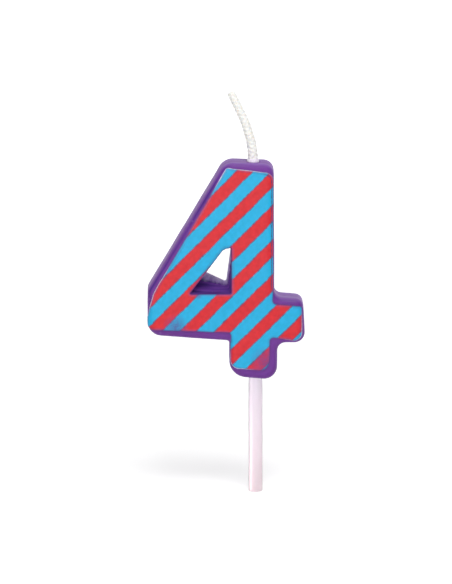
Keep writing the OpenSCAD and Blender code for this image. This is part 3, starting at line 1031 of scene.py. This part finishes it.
# %% Spots on the film
# Places on the face, across and up, and the radius of the spot there
RUBBED = [
    ((2.4, 5.2), 4.2),
    ((-20, 14.2), 3.4),
    ((-14.2, 21.9), 0.9),
]
PALE_EDGES = [
    ((-2, 54), 9),
    ((-8.5, 52), 4),
    ((-23, 25), 6),
    ((-25.5, 19), 6),
    ((11.5, 13), 6),
    ((-5, 4), 5),
]


def spots(tree, place_on, places, patchy):
    """How strongly patchy spots show round the given places: 1 in the middle of one, 0 outside them all."""
    total = 0
    for (across, up), radius in places:
        middle = place(across, up, FRONT)
        away = add(tree, "ShaderNodeVectorMath", {0: place_on, 1: middle}, operation="DISTANCE")
        spot = add(tree, "ShaderNodeMapRange", {0: away, 1: 0, 2: radius * MM, 3: 1, 4: 0})
        total = add(tree, "ShaderNodeMath", {0: spot, 1: total}, operation="ADD")
    broken = add(tree, "ShaderNodeMapRange", {0: patchy, 1: 0.4, 2: 0.6, 3: 0.55, 4: 0.9})
    return add(tree, "ShaderNodeMath", {0: total, 1: broken}, operation="MULTIPLY", use_clamp=True)


print("rubbed spots:", len(RUBBED), "pale edges:", len(PALE_EDGES))

# %% Painted shade of the film's crease
# Distance of the painted crease shade from the cut edge, and its width
CREASE_AT, CREASE_W = 0.55, 0.26
# The painted crease shade grows between these places across, and between these heights
CREASE_ACROSS, CREASE_UP = (1, 3), (22, 25)


def crease_shade(tree, place_on, from_edge, patchy):
    """How strongly the painted shade of a crease beside the film's edge shows: broken, and strongest on the
    stem's right.
    """
    crease = add(
        tree, "ShaderNodeMath", {0: from_edge, 1: CREASE_AT, 2: CREASE_W / 2}, operation="COMPARE"
    )
    gaps = add(tree, "ShaderNodeMapRange", {0: patchy, 1: 0.4, 2: 0.6, 3: 0.85, 4: 0.5})
    at = add(tree, "ShaderNodeSeparateXYZ", {0: place_on}).node.outputs
    left, right = (across * MM for across in CREASE_ACROSS)
    on_right = add(tree, "ShaderNodeMapRange", {0: at["X"], 1: left, 2: right, 3: 0.2, 4: 1})
    low, high = ((FOOT + up) * MM for up in CREASE_UP)
    on_stem = add(tree, "ShaderNodeMapRange", {0: at["Z"], 1: low, 2: high, 3: 0.1, 4: 1})
    for share in (gaps, on_right, on_stem):
        crease = add(tree, "ShaderNodeMath", {0: crease, 1: share}, operation="MULTIPLY")
    return crease


# %% Edge of the film
# Distances from the cut edge between which the painted shade of the bend, the painted shadow along the cut
# and the pale edge fade
BEND_SHADE_FADE, CUT_SHADOW_FADE, PALE_FADE = (0, 0.7), (0.05, 0.3), (0.08, 0.22)


def film_edge(tree, place_on, patchy, inks):
    """The print near the film's edge: painted shade where it bends, painted shadow along the cut, painted
    crease shade on the stem, pale in places.
    """
    from_edge = add(tree, "ShaderNodeAttribute", {}, attribute_name="edge_mm").node.outputs["Fac"]
    shares = []
    for (near, far), most in ((BEND_SHADE_FADE, 0.4), (CUT_SHADOW_FADE, 0.6), (PALE_FADE, 1)):
        shares.append(add(tree, "ShaderNodeMapRange", {0: from_edge, 1: near, 2: far, 3: most, 4: 0}))
    bend, cut, pale = shares
    shown = spots(tree, place_on, PALE_EDGES, patchy)
    pale = add(tree, "ShaderNodeMath", {0: pale, 1: shown}, operation="MULTIPLY")
    # Painted shade where the film bends, painted shadow along the cut, painted crease shade, and the pale
    # edge
    for share, tone in (
        (bend, "#4A4A9A"),
        (cut, "#3C2870"),
        (crease_shade(tree, place_on, from_edge, patchy), "#3A3468"),
        (pale, "#E4E2F4"),
    ):
        inks = add(tree, "ShaderNodeMix", {0: share, MIX_A: inks, MIX_B: colour(tone)}, data_type="RGBA")
    return inks


# %% Printed film
# Print dots and scuffs are finer than a pixel, so their mottle is drawn this coarse to show
MOTTLE, PATCH = 1.2, 0.6


def printed_film():
    """Printed plastic film: to the eye bright flat inks with a soft gloss, painted shade toward the edge,
    and rubbed spots.
    """
    material, tree, shader, place_on = new_material(
        "printed_plastic_film", IOR=1.5, Specular_IOR_Level=0.35
    )
    mottle = add(tree, "ShaderNodeTexNoise", {"Vector": place_on, "Scale": PER_MM / MOTTLE, "Detail": 4})
    patchy = add(tree, "ShaderNodeTexNoise", {"Vector": place_on, "Scale": PER_MM / PATCH, "Detail": 4})
    inks = print_colour(tree, place_on, mottle)
    rubbed = spots(tree, place_on, RUBBED, patchy)
    inks = add(
        tree, "ShaderNodeMix", {0: rubbed, MIX_A: inks, MIX_B: colour("#543A8C")}, data_type="RGBA"
    )
    base = film_edge(tree, place_on, patchy, inks)
    gloss = add(tree, "ShaderNodeMapRange", {0: patchy, 1: 0.3, 2: 0.7, 3: 0.3, 4: 0.42})
    bump = add(tree, "ShaderNodeBump", {"Height": patchy, "Strength": 0.2, "Distance": 0.05 * MM})
    link_skin(tree, shader, base, gloss, bump)
    return material


finish(film, printed_film())

# %% [markdown]
# ## Waxed cotton
# The wick is bleached cotton, braided and dipped in wax, so it lets light in and shines softly.
# Where its yarns sink, a faintly darker cream paints the shade there. Pointiness tells the sunken
# places from the raised ones. Ambient occlusion would find them too, but it takes more rays for the
# same.

# %% Waxed cotton
# Cotton fibres are finer than a pixel, so they are drawn this coarse to show
FIBRE = 0.25


def waxed_cotton():
    """Braided cotton dipped in wax: to the eye white and soft, with a dull shine on its yarns."""
    material, tree, shader, place_on = new_material(
        "waxed_braided_cotton",
        IOR=1.44,
        Subsurface_Weight=0.5,
        Subsurface_Scale=0.5 * MM,
        Subsurface_Radius=(1, 0.9, 0.8),
    )
    fibres = add(tree, "ShaderNodeTexNoise", {"Vector": place_on, "Scale": PER_MM / FIBRE, "Detail": 3})
    raised = add(tree, "ShaderNodeNewGeometry", {}).node.outputs["Pointiness"]
    raised = add(tree, "ShaderNodeMapRange", {0: raised, 1: 0.42, 2: 0.52, 3: 0, 4: 1})
    # The slightly darker cream where the yarns sink is painted shade
    sunk_shade, white = colour("#FCFAF0"), colour("#FFFEF6")
    yarn = add(tree, "ShaderNodeMix", {0: raised, MIX_A: sunk_shade, MIX_B: white}, data_type="RGBA")
    soft = add(tree, "ShaderNodeMapRange", {0: fibres, 1: 0.3, 2: 0.7, 3: 0.45, 4: 0.65})
    bump = add(tree, "ShaderNodeBump", {"Height": fibres, "Strength": 0.3, "Distance": 0.08 * MM})
    link_skin(tree, shader, yarn, soft, bump)
    return material


finish(wick, waxed_cotton())

# %% [markdown]
# ## Pale wax
# The drop at the wick's foot is undyed wax that has taken a breath of purple from the number. Light
# goes deep into it, so it hardly shades itself. Faint clouds in its tint and its gloss are enough
# to make it look like set wax. One even colour would look like plastic.

# %% Pale wax
DROP_CLOUD = 1.2


def pale_wax():
    """Wax that dripped and set: to the eye pale lilac and satin, with hardly a shadow."""
    material, tree, shader, place_on = new_material(
        "pale_dripped_wax",
        IOR=1.44,
        Subsurface_Weight=0.4,
        Subsurface_Scale=0.8 * MM,
        Subsurface_Radius=(1, 0.8, 1),
    )
    clouds = add(tree, "ShaderNodeTexNoise", {"Vector": place_on, "Scale": PER_MM / DROP_CLOUD, "Detail": 3})
    lilac, white = colour("#E6D9EE"), colour("#F3ECF6")
    tint = add(tree, "ShaderNodeMix", {0: clouds, MIX_A: lilac, MIX_B: white}, data_type="RGBA")
    satin = add(tree, "ShaderNodeMapRange", {0: clouds, 1: 0.3, 2: 0.7, 3: 0.3, 4: 0.45})
    bump = add(tree, "ShaderNodeBump", {"Height": clouds, "Strength": 0.2, "Distance": 0.1 * MM})
    link_skin(tree, shader, tint, satin, bump)
    return material


finish(drop, pale_wax())

# %% [markdown]
# ## Moulded polypropylene
# The pick is polypropylene without dye. Light passes through it and scatters on the way, so it is
# milky, faintly pink at its free end and lilac under the number. Glass alone would be too clear and
# a plain white too solid, so the shader mixes the two. The plastic flowed along the mould, which
# leaves long pale streaks.

# %% Moulded polypropylene
# Flow streaks are finer than a pixel, so they are drawn this coarse to show
STREAK = 0.9


def moulded_plastic():
    """Polypropylene from a mould: to the eye milky and half clear, with streaks along the pick."""
    material, tree, shader, place_on = new_material(
        "moulded_polypropylene",
        IOR=1.49,
        Transmission_Weight=0.75,
        Subsurface_Weight=0.6,
        Subsurface_Scale=1.2 * MM,
        Subsurface_Radius=(1, 0.85, 0.9),
    )
    flow = add(tree, "ShaderNodeMapping", {"Vector": place_on, "Scale": (1, 1, 0.08)})
    streaks = add(tree, "ShaderNodeTexNoise", {"Vector": flow, "Scale": PER_MM / STREAK, "Detail": 2})
    height = add(tree, "ShaderNodeSeparateXYZ", {0: place_on}).node.outputs["Z"]
    upward = add(tree, "ShaderNodeMapRange", {0: height, 1: 0, 2: FOOT * MM, 3: 0, 4: 1})
    pink, lilac = colour("#FBE6EC"), colour("#F3E9F6")
    tint = add(tree, "ShaderNodeMix", {0: upward, MIX_A: pink, MIX_B: lilac}, data_type="RGBA")
    pale = add(tree, "ShaderNodeMapRange", {0: streaks, 1: 0.35, 2: 0.65, 3: 0, 4: 0.35})
    base = add(
        tree, "ShaderNodeMix", {0: pale, MIX_A: tint, MIX_B: colour("#FBF4F7")}, data_type="RGBA"
    )
    satin = add(tree, "ShaderNodeMapRange", {0: streaks, 1: 0.3, 2: 0.7, 3: 0.3, 4: 0.42})
    bump = add(tree, "ShaderNodeBump", {"Height": streaks, "Strength": 0.15, "Distance": 0.05 * MM})
    link_skin(tree, shader, base, satin, bump)
    return material


finish(pick, moulded_plastic())

# %% [markdown]
# ## Floor and light
# A product photograph like this one is taken on a white sweep under soft boxes. The floor is plain
# and pale. Where the eye sees it, it also glows, more with distance, so that it shows white but
# still takes the candle's shadow. The world is white where the eye sees it and gives a quiet fill
# elsewhere. One soft box above and one in front give the form. A small one stands low behind on
# the right, so that light also comes through the counter and the pick, and it is kept out of
# reflections, where it would be a hard white glint. A single sun would be simpler, but its shadows
# would be too sharp for wax.


# %% Helper for what the eye sees
def seen_by_eye(tree):
    """1 for rays by which the eye sees the surroundings: straight, in a reflection or through the pick."""
    ray = add(tree, "ShaderNodeLightPath", {}).node.outputs
    seen = ray["Is Camera Ray"]
    for way in ("Is Glossy Ray", "Is Transmission Ray"):
        seen = add(tree, "ShaderNodeMath", {0: seen, 1: ray[way]}, operation="MAXIMUM")
    return seen


# %% Floor
FLOOR_W = 5000
# Distances from the pick between which the glow grows, and its strength near and far
GLOW_FROM, GLOW_TO = 100, 500
GLOW_NEAR, GLOW_FAR = 0.48, 0.85
# Paper fibres are finer than a pixel, so they are drawn this coarse to show
PULP = 2


def white_sweep():
    """Matt white paper: to the eye plain white without gloss, and shadowed by the candle."""
    material, tree, shader, place_on = new_material(
        "matt_white_paper", Roughness=0.9, Emission_Color=colour("#FFFFFF")
    )
    fibres = add(tree, "ShaderNodeTexNoise", {"Vector": place_on, "Scale": PER_MM / PULP, "Detail": 3})
    grey, white = colour("#EEEEEE"), colour("#F2F2F2")
    paper = add(tree, "ShaderNodeMix", {0: fibres, MIX_A: grey, MIX_B: white}, data_type="RGBA")
    away = add(tree, "ShaderNodeVectorMath", {0: place_on}, operation="LENGTH")
    glow = add(
        tree,
        "ShaderNodeMapRange",
        {0: away, 1: GLOW_FROM * MM, 2: GLOW_TO * MM, 3: GLOW_NEAR, 4: GLOW_FAR},
    )
    glow = add(tree, "ShaderNodeMath", {0: seen_by_eye(tree), 1: glow}, operation="MULTIPLY")
    tree.links.new(paper, shader["Base Color"])
    tree.links.new(glow, shader["Emission Strength"])
    return material


clear_selection()
bpy.ops.mesh.primitive_plane_add(size=FLOOR_W * MM)
floor = bpy.context.object
floor.name = "floor"
finish(floor, white_sweep())

# %% World and lamps
FILL = 0.3
# Place and size in millimetres, and watts
LAMPS = {
    "top_light": ((60, -250, 600), 300, 2),
    "front_light": ((-160, -690, 90), 350, 1.7),
    "rear_light": ((300, 520, 30), 60, 1),
}


def white_room():
    """A world that looks white and lights the candle quietly from all sides."""
    world = bpy.data.worlds.new("white_room")
    world.use_nodes = True
    tree = world.node_tree
    strength = add(tree, "ShaderNodeMapRange", {0: seen_by_eye(tree), 1: 0, 2: 1, 3: FILL, 4: 1})
    background = tree.nodes["Background"].inputs
    background["Color"].default_value = colour("#FFFFFF")
    tree.links.new(strength, background["Strength"])
    return world


def soft_box(name, at, size, watts):
    """A square area lamp that looks at the middle of the candle."""
    lamp = bpy.data.objects.new(name, bpy.data.lights.new(name, "AREA"))
    bpy.context.scene.collection.objects.link(lamp)
    lamp.location = Vector(at) * MM
    lamp.rotation_euler = (TARGET - Vector(at)).to_track_quat("-Z", "Y").to_euler()
    lamp.data.size = size * MM
    lamp.data.energy = watts
    return lamp


bpy.context.scene.world = white_room()
lamps = {name: soft_box(name, *settings) for name, settings in LAMPS.items()}
lamps["rear_light"].visible_glossy = False
print("fill", FILL, "lamps", sorted(lamps))

# %% [markdown]
# ## Tie the pieces to the frame
# The real candle comes apart in two: the wax with all that sits on it, and the pick. So four pieces
# ride on the candle's body and one on the pick's, each stands for the solids that it replaces, and
# all of them follow their bodies in every pose. Parenting by hand would do, but the frame already
# knows the bodies.

# %% Tie the pieces to the frame
bpy.context.scene.view_settings.view_transform = "Standard"
for piece in (wax_number, film, wick, drop):
    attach(piece, "candle")
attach(pick, "pick_body")
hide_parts("wax_body")
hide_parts("printed_film", "stripe_ink")
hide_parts("wick")
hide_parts("wick_seal")
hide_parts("pick")
